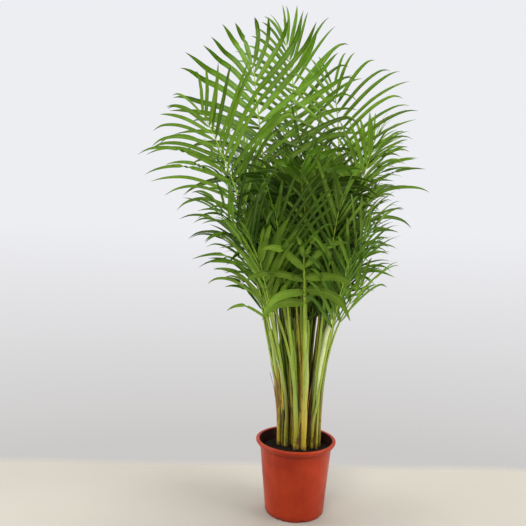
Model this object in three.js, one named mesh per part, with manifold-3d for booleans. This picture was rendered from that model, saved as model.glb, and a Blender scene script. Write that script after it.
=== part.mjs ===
// Potted palm: a clump of slender canes in a tapered nursery pot, each cane with a few feather fronds.
// Millimetres, +Z up, +Y away from the front, origin in the middle of the pot's underside.
import * as THREE from "three";
import Module from "manifold-3d";

const wasm = await Module();
wasm.setup();

const gap = 0.3;                    // clearance between pieces that touch on the real plant
const up = new THREE.Vector3(0, 0, 1);

// ---- pot ----
const potHeight = 168;
const rimRadius = 95;               // outside of the rolled rim
const rimInner = 86.5;
const lipHeight = 12.5;             // depth of the rim's band
const rimFlare = 6;                 // how much wider the band is at the top than at its lower edge
const wallTop = 84.5;               // outside of the wall just under the lip
const wallFoot = 69.5;              // outside of the wall at the base
const wallThick = 1.8;
const footRise = 5;                 // how far the base ring stands over the ground
const footRing = 8;                 // width of the ring that the pot stands on
const footDisc = 22;                // radius of the middle foot
const drainCount = 8;
const drainWide = 11;
const drainTall = 4;
const drainTurn = 12;               // how far the drains are turned from the pot's front, in degrees
const potSides = 32;

// ---- soil ----
const soilTop = 145;
const soilSides = 24;
const rootDepth = 55;               // how deep a cane stands in the soil

// ---- canes: foot x, y; head x, y, z; radius at the foot and at the head ----
const caneSides = 6;
const canes = [
  [-37, 22, -62, 22, 425, 7.0, 6.0],
  [-19, 30, -30, 44, 440, 3.6, 4.6],
  [-1, -14, -17, -24, 430, 5.6, 5.8],
  [17, -18, 18, -30, 455, 6.2, 5.6],
  [36, 22, 60, 24, 495, 4.4, 6.6],
  [55, 8, 70, 3, 445, 6.0, 5.8],
  [-8, 46, -14, 70, 440, 5.0, 5.0],
  [16, 42, 28, 74, 450, 5.2, 5.2],
  [-20, 6, -44, -10, 405, 4.6, 5.2],
  [38, -4, 54, -28, 425, 4.8, 5.4],
  [6, 12, 6, 14, 465, 6.6, 5.8],
  [40, 48, 60, 72, 430, 4.6, 4.8],
  [-38, 50, -66, 76, 420, 4.6, 4.8],
];
const caneRings = [0.24, 0.5, 0.76];   // where the old leaf scars and sheath mouths swell
const ringSwell = 1.12;
const straight = 0.5;               // how far up a cane stands upright before it leans out
const leanStart = [0.5, 0.3];       // how far below its head it still lacks half of its lean

// ---- shoots that haven't opened yet, and a dead stem (the third), laid out as the canes are ----
const shoots = [
  [27, 12, 38, -4, 620, 4.4, 1.5],
  [-29, 11, -60, 4, 610, 4.0, 1.5],
  [8, -6, 8, -10, 300, 3.4, 2.8],
  [48, -8, 76, -20, 560, 3.8, 1.5],
];
const shootRings = [0.5];

// ---- fronds: cane, foot height, elbow x, y, z, tip x, y, z, leaflet pairs, bare part, leaflet length,
// the way its back faces, in degrees from +X, the leaflets' angle off the midrib at the frond's foot and
// at its tip, and how far a leaflet's end hangs ----
const frondTable = [
  [11, 445, 8, 44, 900, -50, 62, 1158, 12, 0.42, 180, 75, 54, 14, 0.6],
  [3, 420, -102, -50, 862, -127, -110, 1020, 12, 0.38, 280, -100, 60, 14, 0.5],
  [5, 470, 104, 8, 850, 68, 14, 1022, 11, 0.40, 210, 80, 56, 20, 0.6],
  [9, 370, -137, -80, 744, -235, -100, 912, 11, 0.34, 222, -95, 48, 24, 0.8],
  [6, 395, 102, -70, 718, 142, -106, 838, 10, 0.38, 174, -80, 48, 22, 0.9],
  [6, 395, 118, 0, 646, 162, -14, 742, 8, 0.34, 182, 0, 40, 20, 1.1],
  [12, 330, 124, 74, 604, 172, 90, 698, 7, 0.38, 200, 20, 40, 20, 1.0],
  [5, 400, 106, 4, 521, 138, 0, 603, 6, 0.46, 185, 0, 46, 22, 1.1],
  [13, 400, -143, 60, 721, -208, 62, 838, 9, 0.36, 198, 150, 50, 26, 1.1],
  [1, 385, -110, -8, 639, -148, -34, 744, 8, 0.38, 220, 190, 42, 22, 1.0],
  [1, 345, -102, 30, 563, -136, 40, 655, 7, 0.44, 200, 180, 42, 22, 1.0],
  [9, 330, -84, -24, 486, -114, -40, 565, 5, 0.52, 165, 235, 44, 26, 0.9],
  [7, 420, -25, 110, 700, -34, 160, 800, 8, 0.40, 200, 95, 36, 18, 0.8],
  [8, 330, 68, 140, 731, 94, 200, 855, 8, 0.42, 200, 70, 40, 20, 0.8],
  [7, 330, -87, 130, 699, -122, 190, 808, 8, 0.40, 200, 115, 40, 20, 0.8],
  [4, 370, 2, -90, 672, -13, -145, 762, 8, 0.36, 195, -80, 32, 18, 0.6],
  [10, 290, 56, -90, 640, 71, -150, 735, 8, 0.5, 200, -65, 34, 18, 0.6],
  [3, 300, -49, -90, 604, -72, -150, 697, 8, 0.5, 200, -120, 34, 18, 0.6],
  [4, 270, 2, -92, 505, -8, -150, 604, 5, 0.66, 140, -80, 66, 30, 1.5],
  [10, 230, 80, -76, 511, 94, -140, 605, 7, 0.54, 185, -50, 30, 20, 0.7],
  [9, 300, -77, -76, 503, -104, -130, 606, 6, 0.55, 180, -130, 30, 18, 0.6],
  [8, 390, 7, 124, 579, 8, 206, 663, 7, 0.34, 190, 90, 38, 20, 0.8],
  [12, 300, 95, 110, 556, 136, 176, 643, 7, 0.40, 190, 55, 40, 20, 0.9],
  [13, 300, -99, 110, 577, -138, 176, 684, 7, 0.40, 190, 125, 40, 20, 0.9],
  [2, 370, -105, 56, 742, -160, 84, 872, 9, 0.40, 225, 140, 52, 22, 1.0],
  [8, 360, 109, 70, 740, 166, 100, 895, 8, 0.40, 205, 45, 48, 22, 0.9],
  [11, 330, -3, -80, 728, -24, -190, 779, 8, 0.46, 180, -85, 56, 22, 1.5],
  [5, 400, 118, 40, 759, 181, 48, 904, 9, 0.40, 188, 30, 50, 22, 1.0],
  [3, 350, -121, -62, 614, -180, -100, 703, 8, 0.36, 210, 215, 44, 24, 1.1],
  [10, 410, 107, -52, 584, 142, -86, 670, 8, 0.34, 195, -25, 40, 20, 1.0],
  [2, 290, -47, 74, 685, -64, 116, 790, 8, 0.44, 190, 110, 34, 18, 0.8],
  [6, 350, 96, -28, 470, 138, -44, 540, 5, 0.50, 186, -60, 44, 22, 0.25],
];
const fronds = frondTable.map(([cane, foot, ex, ey, ez, tx, ty, tz, pairs, bare, long, facing, wide, narrow, droop]) =>
  ({ cane, foot, elbow: vec(ex, ey, ez), tip: vec(tx, ty, tz), pairs, bare, long, facing, wide, narrow, droop }));
const stalkFoot = 2.5;              // half width of a leaf stalk where it leaves the cane
const stalkTip = 0.9;               // half width of the midrib at its tip
const bareSteps = 3;                // bends in the bare part of a stalk
const stalkTaper = 0.7;
const rootLong = 7;                 // length of midrib that one leaflet grows from
const rootTaper = 0.35;             // how much shorter that is at the tip
const crowding = 0.92;              // below 1 the pairs stand closer towards the tip
const backLean = 0.9;               // how far a frond's upper side turns off level
const stalkRise = 0.45;             // how far the stalk follows its cane before it leaves, and how far out
const stalkOut = 0.06;

// ---- leaflets ----
const bladeHalf = 7.2;              // half width
const bladeThick = 0.8;
const bladeStops = [0.26, 0.64];    // where along its length a leaflet bends
const bladeWidths = [1, 0.82];
const fullLength = 100;             // a leaflet shorter than this is narrower too
const angleCurve = 4;               // how late along the frond the leaflets close up
const lift = 0.2;                   // how far the two rows stand up in a V
const hangCurve = 1.6;              // how late along a leaflet it starts to hang
const tipStiff = 0.6;               // how much less the leaflets at the frond's tip hang
const shortFoot = 0.8;              // length of the first and last leaflets, as part of the longest
const shortTip = 0.42;
const fullFrom = 0.35;              // where along the frond the leaflets have their full length
const fullUntil = 0.64;
const wander = [10, 0.16, 0.16];     // chance spread of a leaflet's angle, its rise and its length
const spare = 0.9;                  // room kept round a leaflet when it is bent clear
const turnStep = 4.5;               // steps in which it is bent, in degrees and as a rise
const riseStep = 0.09;
const bends = bendList();

let seed = 7;
function draw() {
  seed = (seed * 16807) % 2147483647;
  return seed / 2147483647;
}

// Every small turn that a leaflet may take to clear its neighbours, the gentlest first.
function bendList() {
  const list = [];
  for (let side = -4; side <= 4; side++)
    for (let rise = -6; rise <= 6; rise++)
      list.push([side * turnStep, rise * riseStep]);
  const size = (b) => Math.abs(b[0]) / turnStep + Math.abs(b[1]) / riseStep;
  return list.sort((a, b) => size(a) - size(b));
}

function vec(x, y, z) {
  return new THREE.Vector3(x, y, z);
}

// ---- closed meshes from points and triangles ----
function solidOf(points, faces) {
  const vertProperties = new Float32Array(points.flatMap((p) => [p.x, p.y, p.z]));
  return new wasm.Manifold(new wasm.Mesh({ numProp: 3, vertProperties, triVerts: new Uint32Array(faces) }));
}

function geometryOf(points, faces) {
  const geometry = new THREE.BufferGeometry();
  const flat = new Float32Array(points.flatMap((p) => [p.x, p.y, p.z]));
  geometry.setAttribute("position", new THREE.BufferAttribute(flat, 3));
  geometry.setIndex(faces);
  geometry.computeVertexNormals();
  return geometry;
}

function solidFrom(geometry) {
  const at = geometry.getAttribute("position");
  const points = [];
  const known = new Map();
  const numbers = [];
  for (let i = 0; i < at.count; i++) {
    const key = [at.getX(i), at.getY(i), at.getZ(i)].map((n) => Math.round(n * 1000)).join();
    if (!known.has(key)) {
      known.set(key, points.length);
      points.push(vec(at.getX(i), at.getY(i), at.getZ(i)));
    }
    numbers.push(known.get(key));
  }
  const order = geometry.index ? Array.from(geometry.index.array) : numbers.map((n, i) => i);
  const faces = [];
  for (let i = 0; i < order.length; i += 3) {
    const [a, b, c] = [0, 1, 2].map((k) => numbers[order[i + k]]);
    if (a !== b && b !== c && c !== a) faces.push(a, b, c);
  }
  return solidOf(points, faces);
}

function geometryFrom(solid) {
  const mesh = solid.getMesh();
  const geometry = new THREE.BufferGeometry();
  const flat = new Float32Array(mesh.numVert * 3);
  for (let i = 0; i < mesh.numVert; i++)
    flat.set(mesh.vertProperties.subarray(i * mesh.numProp, i * mesh.numProp + 3), i * 3);
  geometry.setAttribute("position", new THREE.BufferAttribute(flat, 3));
  geometry.setIndex(Array.from(mesh.triVerts));
  geometry.computeVertexNormals();
  return geometry;
}

function turned(profile, sides) {
  const points = profile.map(([r, z]) => new THREE.Vector2(r, z));
  points.push(points[0].clone());
  return solidFrom(new THREE.LatheGeometry(points, sides).rotateX(Math.PI / 2));
}

// ---- pot: rolled rim, tapered wall, raised floor with drain holes at the edge ----
function makePot() {
  const z0 = footRise;
  const lipFoot = potHeight - lipHeight;
  let pot = turned([
    [0, 0], [footDisc, 0], [footDisc + 2, z0], [wallFoot - footRing, z0],
    [wallFoot - footRing + 1, 0], [wallFoot - 1.5, 0], [wallFoot, 1.5],
    [wallTop, lipFoot - 1], [wallTop + 1, lipFoot + 0.5], [rimRadius - rimFlare, lipFoot + 0.5],
    [rimRadius - rimFlare + 1, lipFoot + 1.5], [rimRadius, potHeight - 2.5], [rimRadius - 1.4, potHeight - 0.5],
    [rimRadius - 3, potHeight], [rimInner + 1, potHeight - 0.6], [rimInner, potHeight - 2.5],
    [wallTop - wallThick, lipFoot - 2], [wallFoot - wallThick + 1, z0 + 3.5],
    [wallFoot - wallThick - 1, z0 + 2], [0, z0 + 2],
  ], potSides);
  for (let i = 0; i < drainCount; i++) {
    const hole = new THREE.BoxGeometry(footRing + 8, drainWide, drainTall * 2);
    const around = THREE.MathUtils.degToRad(drainTurn - 90 + (360 / drainCount) * i);
    hole.translate(wallFoot - footRing / 2, 0, 0).rotateZ(around);
    pot = pot.subtract(solidFrom(hole));
  }
  return geometryFrom(pot);
}

// ---- soil: fills the pot, with a plain hole for each cane ----
function makeSoil() {
  const floor = footRise + 2 + gap;
  const slope = (wallTop - wallFoot) / (potHeight - lipHeight);
  const insideAt = (z) => wallFoot - wallThick - 2 * gap + slope * (z - 3);
  let soil = turned([
    [0, floor], [wallFoot - wallThick - 4, floor], [insideAt(20) - 1, 20],
    [insideAt(soilTop) - 1, soilTop - 3], [insideAt(soilTop) - 9, soilTop],
    [30, soilTop + 2], [0, soilTop + 2],
  ], soilSides);
  [...canes, ...shoots].forEach((cane) => {
    const hole = new THREE.CylinderGeometry(cane[5] + gap + 0.6, cane[5] + gap + 0.6, rootDepth + 20, 8);
    hole.rotateX(Math.PI / 2).translate(cane[0], cane[1], soilTop - rootDepth + (rootDepth + 20) / 2);
    soil = soil.subtract(solidFrom(hole));
  });
  return geometryFrom(soil);
}

// ---- canes ----
function caneCurve(cane) {
  const [x, y, hx, hy, hz] = cane;
  const foot = vec(x, y, soilTop - rootDepth + gap);
  const ground = vec(x, y, soilTop);
  const head = vec(hx, hy, hz);
  const rise = hz - soilTop;
  const [lack, below] = leanStart;
  const path = new THREE.CubicBezierCurve3(ground, vec(x, y, soilTop + rise * straight),
    vec(hx - (hx - x) * lack, hy - (hy - y) * lack, hz - rise * below), head);
  return { foot, path };
}

function caneRadius(cane, t) {
  return cane[5] + (cane[6] - cane[5]) * t;
}

function tubeSection(centre, along, radiusAt, sides) {
  const side = new THREE.Vector3().crossVectors(along, vec(0, 1, 0)).normalize();
  const other = new THREE.Vector3().crossVectors(side, along).normalize();
  return Array.from({ length: sides }, (n, i) => {
    const a = (2 * Math.PI * i) / sides;
    return centre.clone().addScaledVector(side, radiusAt * Math.cos(a)).addScaledVector(other, radiusAt * Math.sin(a));
  });
}

function makeCane(cane, rings) {
  const { foot, path } = caneCurve(cane);
  const stops = [[0, 1]];
  rings.forEach((t) => stops.push([t, ringSwell], [t + 0.02, 0.97]));
  stops.push([0.97, 1.02], [1, 0.7]);
  const sections = [tubeSection(foot, up, cane[5], caneSides)];
  stops.forEach(([t, k]) => sections.push(
    tubeSection(path.getPointAt(t), t === 0 ? up : path.getTangentAt(t), caneRadius(cane, t) * k, caneSides)));
  const points = sections.flat();
  const faces = [];
  const last = sections.length - 1;
  for (let s = 0; s < last; s++)
    for (let i = 0; i < caneSides; i++) {
      const j = (i + 1) % caneSides;
      const [a, b, c, d] = [s * caneSides + i, (s + 1) * caneSides + i, (s + 1) * caneSides + j, s * caneSides + j];
      faces.push(a, b, c, a, c, d);
    }
  for (let i = 1; i < caneSides - 1; i++) {
    faces.push(0, i, i + 1);
    faces.push(last * caneSides, last * caneSides + i + 1, last * caneSides + i);
  }
  return { points, faces };
}

// ---- frond midribs ----
// A frond starts beside its cane, on the side of its elbow, this far from the cane's middle line.
function frondCurve(frond, shift, stand) {
  const cane = canes[frond.cane - 1];
  const { path } = caneCurve(cane);
  const t = Math.min(1, (frond.foot - soilTop) / (cane[4] - soilTop));
  const at = path.getPointAt(t);
  const along = path.getTangentAt(t);
  const elbow = frond.elbow.clone().add(shift);
  const tip = frond.tip.clone().add(shift);
  const away = elbow.clone().sub(at);
  away.addScaledVector(along, -away.dot(along)).normalize();
  const start = at.clone().addScaledVector(away, stand);
  const reach = start.distanceTo(elbow);
  const lean = start.clone().addScaledVector(along, reach * stalkRise).addScaledVector(away, reach * stalkOut);
  return new THREE.CubicBezierCurve3(start, lean, elbow, tip);
}

// A frame on the midrib: forward, out to the side (level), and the side that faces up.
function frameAt(curve, t, facing) {
  const at = curve.getPointAt(t);
  const forward = curve.getTangentAt(t);
  const outward = vec(1, 0, 0).applyAxisAngle(up, THREE.MathUtils.degToRad(facing));
  const over = up.clone().addScaledVector(outward, -backLean);
  const side = new THREE.Vector3().crossVectors(forward, over).normalize();
  const top = new THREE.Vector3().crossVectors(side, forward).normalize();
  return { at, forward, side, top };
}

function ribSection(curve, t, half, facing) {
  const { at, side, top } = frameAt(curve, t, facing);
  const corner = (s, n) => at.clone().addScaledVector(side, s * half).addScaledVector(top, n * half);
  return [corner(1, 1), corner(-1, 1), corner(-1, -1), corner(1, -1)];
}

function ribStops(frond, curve) {
  const { pairs, bare } = frond;
  const long = curve.getLength();
  const stops = [];
  for (let i = 0; i < bareSteps; i++) stops.push({ t: (bare * i) / bareSteps });
  for (let i = 0; i < pairs; i++) {
    const u = (i / (pairs - 1)) ** crowding;
    const t = bare + (1 - bare - rootLong / long) * u;
    stops.push({ t, pair: i, u }, { t: t + (rootLong * (1 - rootTaper * u)) / long });
  }
  stops.forEach((stop) => { stop.half = stalkFoot + (stalkTip - stalkFoot) * stop.t ** stalkTaper; });
  return stops;
}

function ribPiece(a, b) {
  const faces = [];
  for (let i = 0; i < 4; i++) {
    const j = (i + 1) % 4;
    faces.push(i, 4 + i, 4 + j, i, 4 + j, j);
  }
  faces.push(0, 1, 2, 0, 2, 3, 4, 6, 5, 4, 7, 6);
  return solidOf([...a, ...b], faces);
}

// ---- leaflets ----
// One leaflet: rings of four corners and a tip, grown from the four corners of a face of the midrib.
function leafletRings(frond, frame, u, hand, length, bend, extra) {
  const angle = THREE.MathUtils.degToRad(frond.wide + (frond.narrow - frond.wide) * u ** angleCurve + bend[0]);
  const start = frame.forward.clone().multiplyScalar(Math.cos(angle))
    .addScaledVector(frame.side, hand * Math.sin(angle))
    .addScaledVector(frame.top, lift + bend[1]).normalize();
  const at = frame.at.clone();
  const rings = [];
  let from = 0;
  const stops = [...bladeStops, 1];
  stops.forEach((stop, n) => {
    const middle = (from + stop) / 2;
    const hang = frond.droop * (1 - tipStiff * u) * middle ** hangCurve;
    const way = start.clone().addScaledVector(up, -hang).normalize();
    at.addScaledVector(way, (stop - from) * length);
    from = stop;
    if (stop === 1) {
      rings.push([at.clone()]);
      return;
    }
    const wide = frame.forward.clone().addScaledVector(way, -frame.forward.dot(way)).normalize();
    const face = new THREE.Vector3().crossVectors(way, wide).normalize();
    if (face.dot(frame.top) < 0) face.negate();
    const w = bladeHalf * Math.min(1, length / fullLength) * bladeWidths[n] + extra;
    const h = bladeThick / 2 + extra;
    const corner = (s, k) => at.clone().addScaledVector(wide, s * w).addScaledVector(face, k * h);
    rings.push(hand > 0
      ? [corner(-1, -1), corner(1, -1), corner(1, 1), corner(-1, 1)]
      : [corner(-1, 1), corner(1, 1), corner(1, -1), corner(-1, -1)]);
  });
  return rings;
}

// The faces of one leaflet, where root, each ring and the tip are lists of point numbers.
function leafletFaces(loops) {
  const faces = [];
  for (let r = 0; r + 1 < loops.length; r++) {
    const [q, p] = [loops[r], loops[r + 1]];
    for (let i = 0; i < 4; i++) {
      const j = (i + 1) % 4;
      if (p.length === 1) faces.push(q[i], q[j], p[0]);
      else if (i === 2) faces.push(q[j], p[j], p[i], q[j], p[i], q[i]);
      else faces.push(q[i], q[j], p[j], q[i], p[j], p[i]);
    }
  }
  return faces;
}

function leafletSolid(root, rings) {
  const points = [...root, ...rings.flat()];
  const loops = [[0, 1, 2, 3], [4, 5, 6, 7], [8, 9, 10, 11], [12]];
  return solidOf(points, [...leafletFaces(loops), 0, 2, 1, 0, 3, 2]);
}

// ---- everything that has been placed, to bend the next piece clear of it ----
const placed = [];
function place(solid, owner, step) {
  placed.push({ solid, box: solid.boundingBox(), owner, step });
}

function apart(a, b) {
  return [0, 1, 2].some((k) => a.max[k] < b.min[k] || b.max[k] < a.min[k]);
}

function isClear(solid, skip) {
  const box = solid.boundingBox();
  return !placed.some((other) => {
    if (apart(box, other.box) || skip(other)) return false;
    const common = solid.intersect(other.solid);
    const hit = !common.isEmpty();
    common.delete();
    return hit;
  });
}

// The nearest stand at which the stalk's foot lies a small gap off its own cane.
function seatedCurve(frond, shift) {
  const cane = placed.find((other) => other.owner === "cane" + frond.cane).solid;
  for (let stand = canes[frond.cane - 1][6]; ; stand += 0.1) {
    const curve = frondCurve(frond, shift, stand);
    const [foot, next] = ribStops(frond, curve).map((s) => ribSection(curve, s.t, s.half + gap, frond.facing));
    if (ribPiece(foot, next).intersect(cane).isEmpty()) return curve;
  }
}

function layRibs() {
  return fronds.map((frond, n) => {
    for (let attempt = 0; attempt < 60; attempt++) {
      const far = attempt * 0.8;
      const shift = attempt ? vec((draw() - 0.5) * far, (draw() - 0.5) * far, 0) : vec(0, 0, 0);
      const curve = seatedCurve(frond, shift);
      const stops = ribStops(frond, curve);
      const thick = stops.map((s) => ribSection(curve, s.t, s.half + spare, frond.facing));
      const clear = thick.slice(1).every((section, i) => {
        const piece = ribPiece(thick[i], section);
        const fine = isClear(piece, (other) => i === 0 && other.owner === "cane" + frond.cane);
        piece.delete();
        return fine;
      });
      if (!clear) continue;
      const sections = stops.map((s) => ribSection(curve, s.t, s.half, frond.facing));
      sections.slice(1).forEach((section, i) => place(ribPiece(sections[i], section), n, i));
      return { frond, curve, stops, sections, number: n, leaflets: [] };
    }
    throw new Error("no clear way for frond " + (n + 1));
  });
}

function leafletLength(frond, u) {
  const rise = Math.min(1, u / fullFrom);
  const fall = Math.max(0, (u - fullUntil) / (1 - fullUntil));
  return frond.long * (shortFoot + (1 - shortFoot) * rise) * (1 - (1 - shortTip) * fall);
}

// Grows each leaflet in turn, the ends of the fronds first, at the gentlest bend that clears the rest.
function layLeaflets(ribs) {
  const jobs = [];
  ribs.forEach((rib) => rib.stops.forEach((stop, step) => {
    if (stop.pair === undefined) return;
    [1, -1].forEach((hand) => jobs.push({ rib, stop, step, hand, wish: stop.u + draw() * 0.3 }));
  }));
  jobs.sort((a, b) => b.wish - a.wish);
  jobs.forEach(({ rib, stop, step, hand }) => {
    const [a, b] = [rib.sections[step], rib.sections[step + 1]];
    const root = hand > 0 ? [a[3], b[3], b[0], a[0]] : [a[1], b[1], b[2], a[2]];
    const frame = frameAt(rib.curve, stop.t, rib.frond.facing);
    frame.at = root.reduce((sum, p) => sum.add(p), vec(0, 0, 0)).multiplyScalar(0.25);
    const length = leafletLength(rib.frond, stop.u) * (1 + (draw() - 0.5) * wander[2]);
    const stray = [(draw() - 0.5) * wander[0], (draw() - 0.5) * wander[1]];
    const own = (other) => other.owner === rib.number && Math.abs(other.step - step) < 3 && !other.hand;
    for (const cut of [1, 0.8, 0.6]) {
      for (const bend of bends) {
        const turn = [bend[0] + stray[0], bend[1] + stray[1]];
        const rings = leafletRings(rib.frond, frame, stop.u, hand, length * cut, turn, spare);
        const test = leafletSolid(root, rings);
        const clear = isClear(test, own);
        test.delete();
        if (!clear) continue;
        const real = leafletRings(rib.frond, frame, stop.u, hand, length * cut, turn, 0);
        place(leafletSolid(root, real), rib.number, step);
        placed[placed.length - 1].hand = hand;
        rib.leaflets.push({ step, hand, rings: real });
        return;
      }
    }
  });
}

// One frond as one skin: the midrib's side faces open out into its leaflets.
function frondSkin(rib) {
  const points = rib.sections.flat();
  const faces = [];
  const last = rib.sections.length - 1;
  const quad = (a, b, c, d) => faces.push(a, b, c, a, c, d);
  for (let s = 0; s < last; s++)
    for (let i = 0; i < 4; i++) {
      const j = (i + 1) % 4;
      const corners = [4 * s + i, 4 * s + 4 + i, 4 * s + 4 + j, 4 * s + j];
      const hand = i === 3 ? 1 : i === 1 ? -1 : 0;
      const leaflet = hand && rib.leaflets.find((l) => l.step === s && l.hand === hand);
      if (!leaflet) {
        quad(...corners);
        continue;
      }
      const loops = [corners];
      leaflet.rings.forEach((ring) => {
        loops.push(ring.map((p, k) => points.length + k));
        points.push(...ring);
      });
      faces.push(...leafletFaces(loops));
    }
  quad(0, 1, 2, 3);
  quad(4 * last, 4 * last + 3, 4 * last + 2, 4 * last + 1);
  return geometryOf(points, faces);
}

// ---- finishes ----
function finish(colour, roughness) {
  return new THREE.MeshStandardMaterial({ color: colour, roughness, metalness: 0 });
}
const terracotta = finish("#a8391f", 0.42);
const peat = finish("#21160f", 0.95);
const caneGreen = finish("#8f9a3c", 0.55);
const leafGreen = finish("#4f7f22", 0.5);

function piece(name, geometry, material) {
  const mesh = new THREE.Mesh(geometry, material);
  mesh.name = name;
  return mesh;
}

const palm = new THREE.Group();
palm.name = "potted_palm";
palm.add(piece("pot", makePot(), terracotta));
palm.add(piece("soil", makeSoil(), peat));
function addStems(list, rings, name) {
  list.forEach((cane, i) => {
    const { points, faces } = makeCane(cane, rings);
    place(solidOf(points, faces), name + (i + 1), 0);
    palm.add(piece(name + "_" + String(i + 1).padStart(2, "0"), geometryOf(points, faces), caneGreen));
  });
}
addStems(canes, caneRings, "cane");
addStems(shoots, shootRings, "shoot");
const ribs = layRibs();
layLeaflets(ribs);
ribs.forEach((rib, i) =>
  palm.add(piece("frond_" + String(i + 1).padStart(2, "0"), frondSkin(rib), leafGreen)));

export default palm;
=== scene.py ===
import math
import random
import bpy
from mathutils import Matrix, Vector, noise


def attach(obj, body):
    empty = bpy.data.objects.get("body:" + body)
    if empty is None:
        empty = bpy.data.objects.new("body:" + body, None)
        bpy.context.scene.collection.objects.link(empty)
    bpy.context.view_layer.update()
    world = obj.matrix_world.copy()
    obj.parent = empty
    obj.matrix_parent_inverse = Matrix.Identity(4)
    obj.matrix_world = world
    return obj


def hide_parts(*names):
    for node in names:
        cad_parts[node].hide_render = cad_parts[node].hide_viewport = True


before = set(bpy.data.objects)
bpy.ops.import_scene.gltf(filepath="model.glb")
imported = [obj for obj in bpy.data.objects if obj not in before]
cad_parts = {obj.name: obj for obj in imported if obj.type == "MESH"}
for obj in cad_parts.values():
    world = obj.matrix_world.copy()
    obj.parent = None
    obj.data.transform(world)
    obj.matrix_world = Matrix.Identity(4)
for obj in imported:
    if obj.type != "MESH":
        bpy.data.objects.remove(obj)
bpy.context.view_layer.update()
up = Vector((0, 0, 1))
print("frame loaded:", len(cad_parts), "nodes")


def smoothStep(value, low=0.0, high=1.0):
    t = min(1.0, max(0.0, (value - low) / (high - low)))
    return t * t * (3 - 2 * t)


def lerp(a, b, t):
    return a + (b - a) * t


def onProfile(profile, s):
    # reads a list of (stop, value) at s
    for (a, va), (b, vb) in zip(profile, profile[1:]):
        if s <= b:
            return lerp(va, vb, max(0, s - a) / (b - a))
    return profile[-1][1]


def alongCurve(points, stops, s):
    # a smooth curve through the points, which stand at the given stops
    last = len(stops) - 1
    i = 0
    while i < last - 1 and s > stops[i + 1]:
        i += 1
    slopes = [(points[k + 1] - points[k]) / (stops[k + 1] - stops[k]) for k in range(last)]
    before = slopes[i] if i == 0 else (slopes[i - 1] + slopes[i]) / 2
    after = slopes[i] if i == last - 1 else (slopes[i] + slopes[i + 1]) / 2
    h = stops[i + 1] - stops[i]
    t = (s - stops[i]) / h
    return (points[i] * (2 * t ** 3 - 3 * t ** 2 + 1) + before * (h * (t ** 3 - 2 * t ** 2 + t))
            + points[i + 1] * (3 * t ** 2 - 2 * t ** 3) + after * (h * (t ** 3 - t ** 2)))


def stopsOf(points):
    stops = [0.0]
    for a, b in zip(points, points[1:]):
        stops.append(stops[-1] + (b - a).length)
    return stops


def flatTo(vector, along):
    return (vector - along * vector.dot(along)).normalized()


def meanOf(points):
    return sum(points, Vector()) / len(points)


def flat(point):
    return Vector((point.x, point.y, 0))


def outwards(angle):
    return Vector((math.cos(angle), math.sin(angle), 0))


def sideways(angle):
    return Vector((-math.sin(angle), math.cos(angle), 0))


levelFrame = (Vector((1, 0, 0)), Vector((0, 1, 0)))


# collects points, faces, their material numbers and any painted values
class Skin:
    def __init__(self):
        self.points, self.faces, self.slots, self.values = [], [], [], {}

    def point(self, at, **values):
        for key, value in values.items():
            self.values.setdefault(key, {})[len(self.points)] = value
        self.points.append(at)
        return len(self.points) - 1

    def face(self, corners, slot=0):
        self.faces.append(corners)
        self.slots.append(slot)

    def bridge(self, ringA, ringB, slot=0):
        for i in range(len(ringA)):
            j = (i + 1) % len(ringA)
            self.face((ringA[i], ringA[j], ringB[j], ringB[i]), slot)

    def tube(self, rings, slot=0):
        for a, b in zip(rings, rings[1:]):
            self.bridge(a, b, slot)
        self.face(tuple(reversed(rings[0])), slot)
        self.face(tuple(rings[-1]), slot)

    def build(self, name, materials, sharpAngle=50):
        mesh = bpy.data.meshes.new(name)
        mesh.from_pydata(self.points, [], self.faces)
        for key, known in self.values.items():
            layer = mesh.attributes.new(key, "FLOAT", "POINT")
            layer.data.foreach_set("value", [known.get(i, 0.0) for i in range(len(self.points))])
        for material in materials:
            mesh.materials.append(material)
        mesh.polygons.foreach_set("material_index", self.slots)
        mesh.shade_smooth()
        mesh.set_sharp_from_angle(angle=math.radians(sharpAngle))
        mesh.update()
        thing = bpy.data.objects.new(name, mesh)
        bpy.context.scene.collection.objects.link(thing)
        return thing


def settle(thing, slotName, *nodes):
    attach(thing, "root")
    if nodes:
        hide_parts(*nodes)


def plug(tree, socket, value):
    if isinstance(value, bpy.types.NodeSocket):
        tree.links.new(value, socket)
    elif isinstance(value, tuple) and len(value) == 3 and socket.type == "RGBA":
        socket.default_value = (*value, 1)
    else:
        socket.default_value = value


def addNode(tree, kind, inputs=None, **settings):
    made = tree.nodes.new(kind)
    for key, value in settings.items():
        setattr(made, key, value)
    for key, value in (inputs or {}).items():
        plug(tree, made.inputs[key], value)
    return made


def calc(tree, operation, a, b=0.0, c=0.0):
    return addNode(tree, "ShaderNodeMath", {0: a, 1: b, 2: c}, operation=operation).outputs[0]


def mixColour(tree, amount, first, second):
    return addNode(tree, "ShaderNodeMix", {0: amount, 6: first, 7: second}, data_type="RGBA").outputs[2]


def mapRange(tree, value, low, high, newLow=0.0, newHigh=1.0):
    return addNode(tree, "ShaderNodeMapRange",
                   {0: value, 1: low, 2: high, 3: newLow, 4: newHigh}, clamp=True).outputs[0]


def painted(tree, name):
    return addNode(tree, "ShaderNodeAttribute", attribute_name=name).outputs["Fac"]


def speckle(tree, scale, detail=3.0, stretch=(1, 1, 1)):
    place = addNode(tree, "ShaderNodeTexCoord").outputs["Object"]
    place = addNode(tree, "ShaderNodeMapping", {0: place, 3: stretch}).outputs[0]
    grain = {"Vector": place, "Scale": scale, "Detail": detail, "Roughness": 0.55}
    return addNode(tree, "ShaderNodeTexNoise", grain).outputs["Fac"]


def startMaterial(name):
    material = bpy.data.materials.new(name)
    material.use_nodes = True
    material.node_tree.nodes.clear()
    return material, material.node_tree


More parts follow.
